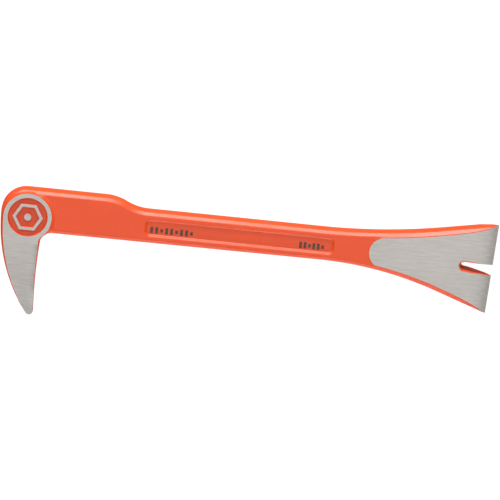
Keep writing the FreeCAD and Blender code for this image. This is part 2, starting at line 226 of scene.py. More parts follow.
def arc_through(start, middle, end):
    """Samples of the arc through three points, its end left out."""
    (ax, ay), (bx, by), (cx, cy) = start, middle, end
    rows = np.array([[bx - ax, by - ay], [cx - bx, cy - by]])
    right = 0.5 * np.array([bx**2 - ax**2 + by**2 - ay**2, cx**2 - bx**2 + cy**2 - by**2])
    centre = np.linalg.solve(rows, right)
    towards = direction_of(start, centre)
    turn = (direction_of(end, centre) - towards + 180) % 360 - 180
    return arc(centre, math.dist(start, centre), towards, towards + turn)


def direction_of(point, centre):
    return math.degrees(math.atan2(point[1] - centre[1], point[0] - centre[0]))


def claw_edges(start, left, y):
    """The claw's inner edge, round tip and outer edge, which ends upright at (left, y)."""
    run = left - CLAW_TIP[0]
    drop = y - CLAW_TIP[1]
    radius = (run**2 + drop**2 - CLAW_TIP_RADIUS**2) / (-2 * (run + CLAW_TIP_RADIUS))
    centre = (left + radius, y)
    towards = direction_of(CLAW_TIP, centre)
    tip_right = (CLAW_TIP[0] + CLAW_TIP_RADIUS, CLAW_TIP[1])
    return [
        arc_through(start, CLAW_WAIST, tip_right),
        arc(CLAW_TIP, CLAW_TIP_RADIUS, 0, towards, 0.3),
        arc(centre, radius, towards, -180),
    ]


def shoulder_edges(top):
    run = SHANK_START - NECK_END
    turn = 2 * math.degrees(math.atan2(top - SHANK_TOP, run))
    radius = run / (2 * math.sin(math.radians(turn)))
    return [
        arc((NECK_END, top - radius), radius, 90, 90 - turn),
        arc((SHANK_START, SHANK_TOP + radius), radius, -90 - turn, -90),
    ]


def lower_slope():
    """Slope in degrees of the lower edge, which touches the claw's fillet and the flare."""
    start, radius, _ = FLARE_BOTTOM
    run = start - CLAW_INNER_X - CLAW_FILLET
    rise = SHANK_BOTTOM - radius - NECK_BOTTOM + CLAW_FILLET
    gap = (CLAW_FILLET - radius) / math.hypot(run, rise)
    return math.degrees(math.atan2(rise, run) - math.asin(gap))


def flare(edge_y, shape, sign, lean=0.0):
    """Samples of one flared edge from where it leaves the shank, and its far end."""
    start, radius, end = shape
    turn = math.degrees(math.asin((end - start) / radius))
    centre = (start, edge_y + sign * radius)
    bend = arc(centre, radius, (-90 - lean) * sign, (turn - 90) * sign)
    last = on_circle(centre, radius, (turn - 90) * sign)
    far_x = TIP_TOP_X + TIP_MARGIN
    far = (far_x, last[1] + sign * math.tan(math.radians(turn)) * (far_x - last[0]))
    return np.concatenate([bend, line(last, far)]), np.array(far)


def outline():
    """The bar at its parting line, clockwise from the top of the head, past the blade's edge."""
    top = HEAD[1] + HEAD_RADIUS
    upper, upper_far = flare(SHANK_TOP, FLARE_TOP, 1)
    slope = lower_slope()
    lower, lower_far = flare(SHANK_BOTTOM, FLARE_BOTTOM, -1, slope)
    fillet = (CLAW_INNER_X + CLAW_FILLET, NECK_BOTTOM - CLAW_FILLET)
    pieces = [line((HEAD[0], top), (NECK_END, top))]
    pieces += shoulder_edges(top)
    pieces += [
        line((SHANK_START, SHANK_TOP), (FLARE_TOP[0], SHANK_TOP)),
        upper,
        line(upper_far, lower_far, FAR),
        lower_far[None],
        lower[:0:-1],
        line(lower[0], on_circle(fillet, CLAW_FILLET, 90 + slope)),
        arc(fillet, CLAW_FILLET, 90 + slope, 180, 0.35),
    ]
    pieces += claw_edges((CLAW_INNER_X, fillet[1]), HEAD[0] - HEAD_RADIUS, HEAD[1])
    pieces.append(arc(HEAD, HEAD_RADIUS, 180, 90, 0.4))
    return np.concatenate(pieces)


def boss_outline():
    """The head and claw alone, clockwise from the claw's inner edge."""
    fillet_x = CLAW_INNER_X + BOSS_FILLET
    fillet_y = -math.sqrt((BOSS_RADIUS + BOSS_FILLET) ** 2 - fillet_x**2)
    towards = direction_of((fillet_x, fillet_y), (0, 0))
    start = (CLAW_INNER_X, fillet_y - BOSS_STRAIGHT)
    pieces = [line((CLAW_INNER_X, fillet_y), start)]
    pieces += claw_edges(start, -BOSS_RADIUS, 0)
    pieces += [
        arc((0, 0), BOSS_RADIUS, 180, towards, 0.3),
        arc((fillet_x, fillet_y), BOSS_FILLET, towards + 180, 180, 0.3),
    ]
    return np.concatenate(pieces)


def notch_lines():
    """Starts of the notch's upper and lower edges on its round root, and their directions."""
    upper = 90 + math.degrees(math.atan(NOTCH_SLOPES[0]))
    lower = 270 + math.degrees(math.atan(NOTCH_SLOPES[1]))
    starts = [on_circle(NOTCH_ROOT, NOTCH_RADIUS, angle) for angle in (upper, lower)]
    ways = [np.array((1.0, slope)) for slope in NOTCH_SLOPES]
    return starts, ways, (upper, lower)


def notch_outline():
    """The notch as its own loop, clockwise, open past the blade's edge."""
    starts, ways, (upper, lower) = notch_lines()
    far = [start + way * NOTCH_LENGTH for start, way in zip(starts, ways)]
    pieces = [
        line(starts[0], far[0]),
        line(far[0], far[1], FAR),
        line(far[1], starts[1]),
        arc(NOTCH_ROOT, NOTCH_RADIUS, lower, upper, 0.25),
    ]
    return np.concatenate(pieces)


class Loop:
    """A closed clockwise loop, which measures how far points lie inside it."""

    def __init__(self, points):
        self.points = points
        self.run = np.roll(points, -1, 0) - points
        self.square = (self.run**2).sum(1)
        weight = np.stack([self.run[:, 1], -self.run[:, 0]], 1) / self.square[:, None]
        inward = weight + np.roll(weight, 1, 0)
        self.inward = inward / np.linalg.norm(inward, axis=1)[:, None]

    def measure(self, points, where=None):
        """Signed distances inside the loop, and the directions in which they grow."""
        distance = np.full(len(points), -FAR)
        way = np.zeros((len(points), 2))
        chosen = np.arange(len(points)) if where is None else np.flatnonzero(where)
        for first in range(0, len(chosen), BATCH):
            part = chosen[first:first + BATCH]
            distance[part], way[part] = self.measure_few(points[part])
        return distance, way

    def measure_few(self, points):
        offset = points[:, None] - self.points[None]
        share = np.clip((offset * self.run).sum(2) / self.square, 0, 1)
        gap = ((offset - share[..., None] * self.run) ** 2).sum(2)
        near = gap.argmin(1)
        row = np.arange(len(points))
        share = share[row, near][:, None]
        way = self.inward[near] * (1 - share) + self.inward[(near + 1) % len(self.inward)] * share
        below = self.points[None, :, 1] > points[:, None, 1]
        crosses = below != np.roll(below, -1, 1)
        rise = np.where(self.run[:, 1] == 0, 1.0, self.run[:, 1])
        at_x = self.points[:, 0] - offset[..., 1] * -1 / rise * self.run[:, 0]
        inside = (crosses & (points[:, None, 0] < at_x)).sum(1) % 2 == 1
        sign = np.where(inside, 1.0, -1.0)
        return sign * np.sqrt(gap[row, near]), way / np.linalg.norm(way, axis=1)[:, None]


def tip_ends():
    """Upper and lower ends of the cutting edge."""
    upper = flare(SHANK_TOP, FLARE_TOP, 1)[0]
    lower = flare(SHANK_BOTTOM, FLARE_BOTTOM, -1, lower_slope())[0]
    top = (TIP_TOP_X, np.interp(TIP_TOP_X, upper[:, 0], upper[:, 1]))
    bottom = (TIP_BOTTOM_X, np.interp(TIP_BOTTOM_X, lower[:, 0], lower[:, 1]))
    return np.array(top), np.array(bottom)


OUTLINE = Loop(outline())
BOSS = Loop(boss_outline())
NOTCH = Loop(notch_outline())
TIP_TOP, TIP_BOTTOM = tip_ends()
TIP_WAY = (TIP_TOP - TIP_BOTTOM) / np.linalg.norm(TIP_TOP - TIP_BOTTOM)
TIP_OUT = np.array((TIP_WAY[1], -TIP_WAY[0]))


def from_tip(points):
    """How far points lie inside the cutting edge."""
    return (TIP_BOTTOM - points) @ TIP_OUT


def tip_hit(start, way):
    """Where a line meets the cutting edge."""
    return start + way * (from_tip(start[None])[0] / (way @ TIP_OUT))


def region_boundary():
    """The bar's real boundary: the outline cut at the blade's edge, with the notch in it."""
    points = OUTLINE.points
    depth = from_tip(points)
    kept = depth > 1e-6
    first = int(np.flatnonzero(kept & ~np.roll(kept, 1))[0])
    points = np.roll(points, -first, 0)[:int(kept.sum())]
    starts, ways, (upper, lower) = notch_lines()
    hits = [tip_hit(start, way) for start, way in zip(starts, ways)]
    return np.concatenate([
        TIP_BOTTOM[None],
        points,
        line(TIP_TOP, hits[0]),
        line(hits[0], starts[0]),
        arc(NOTCH_ROOT, NOTCH_RADIUS, upper, lower, 0.25),
        line(starts[1], hits[1]),
        line(hits[1], TIP_BOTTOM),
    ])


# Heights ----------------------------------------------------------------------

def smooth_min(a, b, width):
    share = np.clip(0.5 + 0.5 * (b - a) / width, 0, 1)
    return b * (1 - share) + a * share - width * share * (1 - share)


def smooth_max(a, b, width):
    return -smooth_min(-np.asarray(a), -np.asarray(b), width)


def soft_step(t):
    t = np.clip(t, 0, 1)
    return t * t * (3 - 2 * t)


def measured(points):
    """Everything that the height functions need to know about points in the plane."""
    edge, edge_way = OUTLINE.measure(points)
    boss, boss_way = BOSS.measure(points, points[:, 0] < BOSS_SIDE)
    notch, notch_way = NOTCH.measure(points, points[:, 0] > NOTCH_SIDE)
    return {
        "points": points,
        "edge": edge, "edge_way": edge_way,
        "boss": boss, "boss_way": boss_way,
        "notch": -notch, "notch_way": -notch_way,
    }


def moved(place, shift):
    """The same knowledge a very small step away."""
    shift = np.array(shift)
    near = {"points": place["points"] + shift}
    for name in ("edge", "boss", "notch"):
        near[name] = place[name] + place[name + "_way"] @ shift
    return near


def panel_distance(points):
    """How far points lie inside the panel's rounded rectangle."""
    low = np.array(PANEL_LOW)
    high = np.array(PANEL_HIGH)
    out = np.abs(points - (low + high) / 2) - (high - low) / 2 + PANEL_CORNER
    far = np.hypot(*np.maximum(out, 0).T) + np.minimum(out.max(1), 0)
    return PANEL_CORNER - far


def heel_distance(points):
    """How far points lie inside the blade's raised pad, its heel being round."""
    disc = HEEL_RADIUS - np.hypot(*(points - np.array(HEEL)).T)
    return np.maximum(disc, points[:, 0] - HEEL[0])


def bevel_height(edge):
    drop = EDGE_DROP * np.exp(np.minimum((LIP - edge) / EDGE_FADE, EDGE_LIMIT))
    return BEVEL_EDGE + BEVEL_RATE * (edge - LIP) - drop


def forged(place):
    """Height of the painted forging above the mid plane, before anything is ground."""
    points = place["points"]
    bevel = bevel_height(place["edge"])
    pad = smooth_max(BEVEL_RATE * heel_distance(points), 0, HEEL_SOFT)
    height = smooth_min(bevel, BODY_HALF + np.minimum(pad, PAD_LIMIT), BEVEL_SOFT)
    inside = (panel_distance(points) - PANEL_WALL[0]) / (PANEL_WALL[1] - PANEL_WALL[0])
    height = height - PANEL_DEPTH * soft_step(inside)
    room = place["edge"] - place["boss"]
    soft = soft_step((room - SOFT_GAP[0]) / (SOFT_GAP[1] - SOFT_GAP[0]))
    rate = BOSS_STEEP + (BOSS_SOFT - BOSS_STEEP) * soft
    side = BOSS_HALF + (place["boss"] - BOSS_INSET) * rate
    height = smooth_max(height, np.minimum(side, BOSS_HALF + BOSS_CAP), BOSS_BLEND)
    radius = np.hypot(*points.T)
    wall = BOSS_HALF + (radius - POCKET_RADIUS) * POCKET_RATE
    pocket = smooth_max(POCKET_FLOOR, wall, POCKET_SOFT)
    height = np.minimum(height, pocket)
    return np.minimum(height, NOTCH_FOOT + place["notch"] * NOTCH_RATE)


def fall_height(depth, fall, soft):
    """Ground face that falls towards the cutting edge in softly joined flats."""
    height = np.full(len(depth), PAD_HALF)
    for (far, high), (near, low) in zip(fall, fall[1:]):
        flat = low + (depth - near) * (high - low) / (far - near)
        height = smooth_min(height, flat, soft)
    return height


def ground(place, back):
    """Height of the ground faces above the mid plane: nothing of the bar is left above them."""
    points = place["points"]
    along = np.maximum((GRIND_START - points[:, 1]) / GRIND_LENGTH, 0)
    head = BOSS_HALF - GRIND_FALL[0] * along - GRIND_FALL[1] * along**2
    fade = 1.0
    for start, full in (ROLL_TOP, ROLL_BOTTOM):
        fade = fade * soft_step((points[:, 1] - start) / (full - start))
    head -= ROLL_RATE * fade * np.maximum(points[:, 0] - ROLL_START, 0) ** 2
    nose = np.clip(1 - place["edge"] / NOSE, 0, 1) ** 2
    head -= NOSE_DEPTH * nose * soft_step(CLAW_TIP[1] - points[:, 1])
    if back:
        blade = fall_height(from_tip(points), BACK_FALL, BACK_SOFT)
    else:
        blade = fall_height(from_tip(points), FRONT_FALL, FRONT_SOFT)
    return np.where(points[:, 0] > BLADE_SIDE, blade, head)


def slope_of(height, place):
    """Gradient of a height function, by small steps."""
    step = 0.004
    along = (height(moved(place, (step, 0))) - height(moved(place, (-step, 0)))) / (2 * step)
    across = (height(moved(place, (0, step))) - height(moved(place, (0, -step)))) / (2 * step)
    return np.stack([along, across], 1)


def cover(place, back):
    """Thickness of painted metal that grinding took off, square to the painted surface."""
    slope = slope_of(forged, place)
    return (forged(place) - ground(place, back)) / np.sqrt(1 + (slope**2).sum(1))


# Lines where surfaces meet ----------------------------------------------------

def crossings(points, values, cells):
    """Segments along which values on a grid of triangles are zero."""
    edges = np.concatenate([cells[:, [0, 1]], cells[:, [1, 2]], cells[:, [2, 0]]])
    edges.sort(axis=1)
    cut = (values[edges[:, 0]] > 0) != (values[edges[:, 1]] > 0)
    keys, where = np.unique(edges[cut], axis=0, return_inverse=True)
    share = values[keys[:, 0]] / (values[keys[:, 0]] - values[keys[:, 1]])
    found = points[keys[:, 0]] + (points[keys[:, 1]] - points[keys[:, 0]]) * share[:, None]
    slot = np.full(len(edges), -1)
    slot[cut] = where.ravel()
    slot = slot.reshape(3, -1).T
    both = (slot >= 0).sum(1) == 2
    return found, np.array([row[row >= 0] for row in slot[both]])


def chains(count, segments):
    """Runs of point numbers that follow the segments end to end."""
    beside = [[] for _ in range(count)]
    for a, b in segments:
        beside[a].append(b)
        beside[b].append(a)
    left = set(range(count))
    runs = []
    for start in sorted(left, key=lambda i: (len(beside[i]) != 1, i)):
        if start not in left:
            continue
        run = [start]
        left.discard(start)
        while True:
            onward = [i for i in beside[run[-1]] if i in left]
            if not onward:
                break
            run.append(onward[0])
            left.discard(onward[0])
        if start in beside[run[-1]] and len(run) > 2:
            run.append(start)
        runs.append(run)
    return runs


def spaced(points, step):
    """The same open or closed run with even spacing."""
    length = np.concatenate([[0], np.cumsum(np.linalg.norm(np.diff(points, axis=0), axis=1))])
    count = max(2, int(round(length[-1] / step)) + 1)
    at = np.linspace(0, length[-1], count)
    return np.stack([np.interp(at, length, points[:, axis]) for axis in (0, 1)], 1)


def settled(points, back, level):
    """Points moved on to the line where cover() is exactly level."""
    for _ in range(4):
        place = measured(points)
        value = cover(place, back) - level
        slope = slope_of(lambda near: cover_near(near, place, back), place)
        step = -value[:, None] * slope / np.maximum((slope**2).sum(1), 0.02)[:, None]
        size = np.linalg.norm(step, axis=1)[:, None]
        points = points + step * np.minimum(1, 0.1 / np.maximum(size, 1e-9))
    return points


def cover_near(near, place, back):
    slope = slope_of(forged, place)
    return (forged(near) - ground(near, back)) / np.sqrt(1 + (slope**2).sum(1))


def ground_lines(low, high, back):
    """Lines on which the paint ends (level 0) and on which bare steel starts (level FILM)."""
    xs = np.arange(low[0], high[0], FIELD_GRID)
    ys = np.arange(low[1], high[1], FIELD_GRID)
    points = np.stack(np.meshgrid(xs, ys, indexing="ij"), -1).reshape(-1, 2)
    number = np.arange(len(points)).reshape(len(xs), len(ys))
    a, b, c, d = (part.ravel() for part in
                  (number[:-1, :-1], number[1:, :-1], number[1:, 1:], number[:-1, 1:]))
    cells = np.concatenate([np.stack([a, b, c], 1), np.stack([a, c, d], 1)])
    place = measured(points)
    values = cover(place, back)
    depths = (place["edge"], from_tip(points), place["notch"])
    near = np.min(depths, axis=0) > -FIELD_MARGIN
    cells = cells[near[cells].all(1)]
    found = []
    for level in (0.0, FILM):
        dots, segments = crossings(points, values - level, cells)
        for run in chains(len(dots), segments):
            if len(run) > 3:
                even = spaced(settled(dots[run], back, level), GROUND_STEP)
                found.append(settled(even, back, level))
    return found


# The plan of triangles --------------------------------------------------------

class Plan:
    """Points and lines that the triangles have to keep."""

    def __init__(self):
        self.points = []
        self.edges = []
        self.front = set()
        self.back = set()
        self.count = 0

    def add(self, points, closed=False, kept=None, sides=""):
        """A run of points joined by lines; kept says which of them lie in the bar."""
        kept = np.ones(len(points), bool) if kept is None else kept
        self.points.append(points)
        last = len(points) if closed else len(points) - 1
        for i in range(last):
            j = (i + 1) % len(points)
            if kept[i] and kept[j]:
                if "f" in sides:
                    self.front.add(len(self.edges))
                if "b" in sides:
                    self.back.add(len(self.edges))
                self.edges.append((self.count + i, self.count + j))
        self.count += len(points)


def inside_bar(points, margin):
    """Which points lie in the bar by at least a margin."""
    edge = OUTLINE.measure(points)[0]
    notch = -NOTCH.measure(points, points[:, 0] > NOTCH_SIDE)[0]
    return (edge > margin) & (from_tip(points) > margin) & (notch > margin)


def add_inside(plan, points, closed=False, margin=0.1):
    """A feature line, less whatever lies outside the bar."""
    kept = inside_bar(points, margin)
    if not kept.any():
        return
    if closed and not kept.all():
        points = np.roll(points, -int(np.flatnonzero(~kept)[0]), 0)
        kept = inside_bar(points, margin)
        closed = False
    runs = np.split(np.arange(len(points)), np.flatnonzero(np.diff(kept.astype(int))) + 1)
    for run in runs:
        if kept[run[0]]:
            plan.add(points[run], closed=closed and len(runs) == 1)


def panel_ring(inset):
    low = np.array(PANEL_LOW) + inset
    high = np.array(PANEL_HIGH) - inset
    radius = PANEL_CORNER - inset
    corners = (
        ((high[0] - radius, high[1] - radius), 90, 0),
        ((high[0] - radius, low[1] + radius), 0, -90),
        ((low[0] + radius, low[1] + radius), -90, -180),
        ((low[0] + radius, high[1] - radius), 180, 90),
    )
    ring = []
    for number, (centre, start, end) in enumerate(corners):
        onward = corners[(number + 1) % 4]
        bend = arc(centre, radius, start, end, 0.3)
        leave = on_circle(centre, radius, end)
        arrive = on_circle(onward[0], radius, onward[1])
        ring += [bend, line(leave, arrive, 1.2)]
    return np.concatenate(ring)


def add_features(plan):
    """Rows of points where the surface bends, besides the lines where surfaces meet."""
    for distance in EDGE_RINGS:
        ring = OUTLINE.points + OUTLINE.inward * distance
        true = OUTLINE.measure(ring)[0] > distance - RING_SLACK
        add_inside(plan, ring[true], closed=True)
    for distance in BOSS_RINGS:
        ring = BOSS.points + BOSS.inward * distance
        free = OUTLINE.measure(ring)[0] - distance > BOSS_GAP
        for run in np.split(np.arange(len(ring)), np.flatnonzero(np.diff(free.astype(int))) + 1):
            if free[run[0]]:
                add_inside(plan, ring[run], margin=0.25)
    for depth in POCKET_RINGS:
        plan.add(arc((0, 0), POCKET_RADIUS - depth, 360, 0, 0.5), closed=True)
    for inset in PANEL_RINGS:
        plan.add(panel_ring(inset), closed=True)
    for distance in HEEL_RINGS:
        plan.add(arc(HEEL, HEEL_RADIUS + distance, 246, 114, 0.4))
    for depth in TIP_LINES:
        start = TIP_BOTTOM - TIP_OUT * depth
        add_inside(plan, line(start - TIP_WAY * 3, start + TIP_WAY * 42, 0.7), margin=0.12)
    for distance in ROLL_LINES:
        x = ROLL_START + distance
        add_inside(plan, line((x, ROLL_TOP[0]), (x, ROLL_BOTTOM[0]), 0.8), margin=0.4)
    for distance in NOTCH_RINGS:
        add_inside(plan, NOTCH.points - NOTCH.inward * distance)


def add_cuts(plan):
    """Lines on which the bar's zones part."""
    for x, low, high in CUTS:
        plan.add(line((x, low), (x, high), 1.0))
    plan.add(line((CLAW_CUT_START, GRIND_START), (HEAD_END, GRIND_START), 1.0))


def add_grid(plan):
    """Evenly spread points wherever no line is near."""
    tree = KDTree(plan.count)
    for number, point in enumerate(np.concatenate(plan.points)):
        tree.insert((point[0], point[1], 0), number)
    tree.balance()
    low = OUTLINE.points.min(0)
    high = OUTLINE.points.max(0)
    grid = []
    for row, y in enumerate(np.arange(low[1], high[1], GRID * 0.87)):
        for x in np.arange(low[0] + (row % 2) * GRID / 2, high[0], GRID):
            grid.append((x, y))
    grid = np.array(grid)
    grid = grid[inside_bar(grid, GRID_MARGIN)]
    free = [point for point in grid if tree.find((point[0], point[1], 0))[2] > GRID_GAP * GRID]
    plan.add(np.array(free), kept=np.zeros(len(free), bool))


def triangles():
    """Triangles of the bar's plan, and the edges that part its surfaces on each side."""
    plan = Plan()
    plan.add(region_boundary(), closed=True)
    for field, back, sides in ((HEAD_FIELD, False, "fb"), (BLADE_FIELD, False, "f"),
                               (BLADE_FIELD, True, "b")):
        for run in ground_lines(*field, back):
            plan.add(run, sides=sides)
    add_features(plan)
    add_cuts(plan)
    add_grid(plan)
    points = [Vector(point) for point in np.concatenate(plan.points).tolist()]
    found = delaunay_2d_cdt(points, plan.edges, [], 0, 1e-4, True)
    points = np.array([tuple(point) for point in found[0]])
    faces = np.array(found[2])
    kept = inside_bar(points[faces].mean(1), 0.0)
    parts = []
    for chosen in (plan.front, plan.back):
        parts.append({tuple(sorted(edge)) for edge, source in zip(found[1], found[4])
                      if chosen.intersection(source)})
    used, faces = np.unique(faces[kept], return_inverse=True)
    number = {int(old): new for new, old in enumerate(used)}
    parts = [{(number[a], number[b]) for a, b in part if a in number and b in number}
             for part in parts]
    return points[used], faces.reshape(-1, 3), parts


def face_pairs(faces):
    """Each inner edge with the two faces on it, and each outer edge with its one."""
    owner = {}
    pairs = []
    for number, face in enumerate(faces.tolist()):
        for i in range(3):
            a, b = face[i], face[(i + 1) % 3]
            key = (a, b) if a < b else (b, a)
            if key in owner:
                pairs.append((key, owner.pop(key)[0], number))
            else:
                owner[key] = (number, (a, b))
    return pairs, [directed for _, directed in owner.values()]


def surfaces(points, faces, pairs, parting, back):
    """For each face: 0 painted, 1 the ground rim of the paint, 2 bare steel."""
    root = list(range(len(faces)))

    def find(i):
        while root[i] != i:
            root[i] = root[root[i]]
            i = root[i]
        return i

    for key, first, second in pairs:
        if key not in parting:
            root[find(first)] = find(second)
    region = np.array([find(i) for i in range(len(faces))])
    corners = points[faces]
    along = corners[:, 1] - corners[:, 0]
    across = corners[:, 2] - corners[:, 0]
    area = np.abs(along[:, 0] * across[:, 1] - along[:, 1] * across[:, 0])
    value = np.clip(cover(measured(corners.mean(1)), back), *COVER_LIMITS)
    total = np.bincount(region, area, len(faces))
    mean = np.bincount(region, area * value, len(faces)) / np.maximum(total, 1e-12)
    mean = mean[region]
    return np.where(mean < 0, 0, np.where(mean < FILM, 1, 2))


def zone_of(points):
    """0 claw, 1 head, 2 neck, 3 shank, 4 blade."""
    x, y = points[:, 0], points[:, 1]
    along = 1 + (x > HEAD_END).astype(int) + (x > NECK_CUT) + (x > SHANK_CUT)
    return np.where((along == 1) & (y < GRIND_START), 0, along)


# The closed body --------------------------------------------------------------

def unit(rows):
    return rows / np.maximum(np.linalg.norm(rows, axis=-1, keepdims=True), 1e-12)


class Body:
    """Faces of the whole bar with a surface, a zone and a normal at each corner."""

    def __init__(self):
        self.places = []
        self.shrink = []
        self.faces = []
        self.kind = []
        self.group = []
        self.zone = []
        self.normals = []

    def add_points(self, places, shrink):
        first = sum(len(part) for part in self.places)
        self.places.append(places)
        self.shrink.append(shrink)
        return first

    def add_face(self, corners, kind, group, zone, normals):
        self.faces.append(tuple(int(corner) for corner in corners))
        self.kind.append(int(kind))
        self.group.append(group)
        self.zone.append(int(zone))
        self.normals.append(normals)


def ordered_boundary(directed):
    """The single loop of outer edges, as point numbers."""
    onward = dict(directed)
    start = min(onward)
    loop = [start]
    while onward[loop[-1]] != start:
        loop.append(onward[loop[-1]])
    return loop


def boundary_facts(points, loop):
    """Outward directions along the loop, and which points lie on tip, notch and leaning sides."""
    at = points[loop]
    tip = np.abs(from_tip(at)) < TOUCH
    notch = np.abs(NOTCH.measure(at, at[:, 0] > NOTCH_SIDE)[0]) < TOUCH
    depth, inward = OUTLINE.measure(at)
    outward = -inward
    outward[notch] = NOTCH.measure(at[notch])[1]
    corner = tip & (np.abs(depth) < TOUCH)
    outward[corner] = TIP_WAY / (outward[corner] @ TIP_WAY)[:, None]
    return outward, tip, notch, ~(tip | notch) | corner


def lift(place, back):
    """Both surfaces' heights and normals for one side of the bar."""
    side = -1.0 if back else 1.0
    painted = forged(place)
    bare = ground(place, back)
    height = np.minimum(painted, bare)
    normals = []
    for function in (forged, lambda near: ground(near, back)):
        slope = slope_of(function, place)
        normals.append(unit(np.column_stack([-slope, np.ones(len(slope))])) * (1, 1, side))
    return height * side, normals


def whole_body():
    """The whole bar as one closed body."""
    points, faces, parting = triangles()
    pairs, outer = face_pairs(faces)
    loop = ordered_boundary(outer)
    outward, tip, notch, leaning = boundary_facts(points, loop)
    inset = points.copy()
    inset[np.array(loop)[leaning]] -= outward[leaning] * LIP
    place = measured(inset)
    body = Body()
    zones = zone_of(points[faces].mean(1))
    lifted = []
    for back in (False, True):
        height, normals = lift(place, back)
        lifted.append((height, normals))
        kinds = surfaces(points, faces, pairs, parting[int(back)], back)
        shrink = normals[0].copy()
        shrink[loop] = unit(shrink[loop] + np.column_stack([outward, np.zeros(len(loop))]))
        body.add_points(np.column_stack([inset, height]), shrink)
        first = len(points) * int(back)
        near_pocket = np.hypot(*points[faces].mean(1).T) < POCKET_RADIUS + POCKET_REACH
        near_notch = place["notch"][faces].min(1) < NOTCH_REACH
        for number, face in enumerate(faces):
            group = "outer"
            if near_pocket[number]:
                group = "back_pocket" if back else "front_pocket"
            elif near_notch[number]:
                group = "notch"
            source = normals[0] if kinds[number] == 0 else normals[1]
            order = face[::-1] if back else face
            body.add_face(first + order, kinds[number], group, zones[number], source[order])
    add_walls(body, points, loop, outward, tip, notch, leaning, lifted)
    return body


def add_walls(body, points, loop, outward, tip, notch, leaning, lifted):
    """Side walls of the bar, from its back surface to its front surface."""
    at = points[loop]
    front = lifted[0][0][loop]
    back = lifted[1][0][loop]
    columns = [[len(points) + i for i in loop]]
    for share in ROWS[1:-1]:
        z = back + (front - back) * share
        lean = np.where(leaning, LIP * np.clip(np.abs(z) / LIP_HEIGHT, 0, 1), 0)
        places = np.column_stack([at - outward * lean[:, None], z])
        first = body.add_points(places, np.column_stack([outward, np.zeros(len(at))]))
        columns.append(list(range(first, first + len(at))))
    columns.append(list(loop))
    flat = np.append(TIP_OUT, 0.0)
    for i in range(len(loop)):
        j = (i + 1) % len(loop)
        if tip[i] and tip[j]:
            kind, group = 2, "outer"
        elif (notch[i] or notch[j]) and not (leaning[i] or leaning[j]):
            kind, group = 0, "notch"
        else:
            kind, group = 0, "outer"
        zone = zone_of((at[i] + at[j])[None] / 2)[0]
        for row in range(len(columns) - 1):
            low, high = columns[row], columns[row + 1]
            corners = (low[i], low[j], high[j], high[i])
            normals = []
            for k, end in ((i, row), (j, row), (j, row + 1), (i, row + 1)):
                normals.append(wall_normal(k, end, kind, group, outward, loop, lifted, flat))
            body.add_face(corners, kind, group, zone, np.array(normals))


def wall_normal(k, row, kind, group, outward, loop, lifted, flat):
    """Normal of a wall at one of its rows; painted sides round over into the faces."""
    if kind == 2:
        return flat
    if group == "outer" and row in (0, len(ROWS) - 1):
        height, normals = lifted[1 if row == 0 else 0]
        if abs(height[loop[k]]) > LIP_HEIGHT - LIP_REACH:
            return normals[0][loop[k]]
    tilt = WALL_TILT * (ROWS[row] * 2 - 1) if group == "outer" else 0.0
    return np.append(outward[k], tilt)


# Pieces -----------------------------------------------------------------------

def to_world(places):
    """Design millimetres to the frame's metres, from the CAD box and the bar's own limits."""
    left = HEAD[0] - HEAD_RADIUS
    bottom = CLAW_TIP[1] - CLAW_TIP_RADIUS
    middle = (CAD_BOX[0].z + CAD_BOX[1].z) / 2
    origin = (CAD_BOX[0].x - left * 0.001, CAD_BOX[0].y - bottom * 0.001, middle)
    return np.asarray(places) * 0.001 + np.array(origin)


def make_piece(name, places, faces, normals, material, slot, nodes):
    """A mesh with its own corner normals, riding on the bar; the CAD nodes that it replaces are
    hidden.
    """
    mesh = bpy.data.meshes.new(name)
    mesh.from_pydata(to_world(places).tolist(), [], faces)
    mesh.polygons.foreach_set("use_smooth", [True] * len(mesh.polygons))
    if normals is not None:
        mesh.normals_split_custom_set(normals)
    mesh.validate(clean_customdata=False)
    mesh.update()
    mesh.materials.append(material)
    piece = bpy.data.objects.new(name, mesh)
    bpy.context.scene.collection.objects.link(piece)
    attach(piece, "root")
    if nodes:
        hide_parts(*nodes)
    return piece


def open_loops(faces):
    """Loops of edges that only one face has, against that face's own direction."""
    directed = {(face[i - 1], face[i]) for face in faces for i in range(len(face))}
    onward = {b: a for a, b in directed if (b, a) not in directed}
    loops = []
    while onward:
        start, step = onward.popitem()
        loop = [start]
        while step != start:
            loop.append(step)
            step = onward.pop(step)
        loops.append(loop)
    return loops


def compact(places, faces, normals):
    """Only the points that the faces use."""
    used = np.unique([corner for face in faces for corner in face])
    number = {int(old): new for new, old in enumerate(used)}
    faces = [tuple(number[corner] for corner in face) for face in faces]
    return places[used], faces, [tuple(row) for part in normals for row in part]


def flat_normals(count):
    """Zeros stand for the face's own normal."""
    return np.zeros((count, 3))


def steel_piece(body, inner, zone, name, material, node):
    """One stretch of the forging: bare where it is ground, and inside the coat elsewhere."""
    chosen = [i for i, where in enumerate(body.zone) if where == zone]
    faces = [body.faces[i] for i in chosen]
    normals = [body.normals[i] for i in chosen]
    for cap in open_loops(faces):
        faces.append(tuple(cap))
        normals.append(flat_normals(len(cap)))
    places, faces, normals = compact(inner, faces, normals)
    return make_piece(name, places, faces, normals, material, "forged_steel", [node])


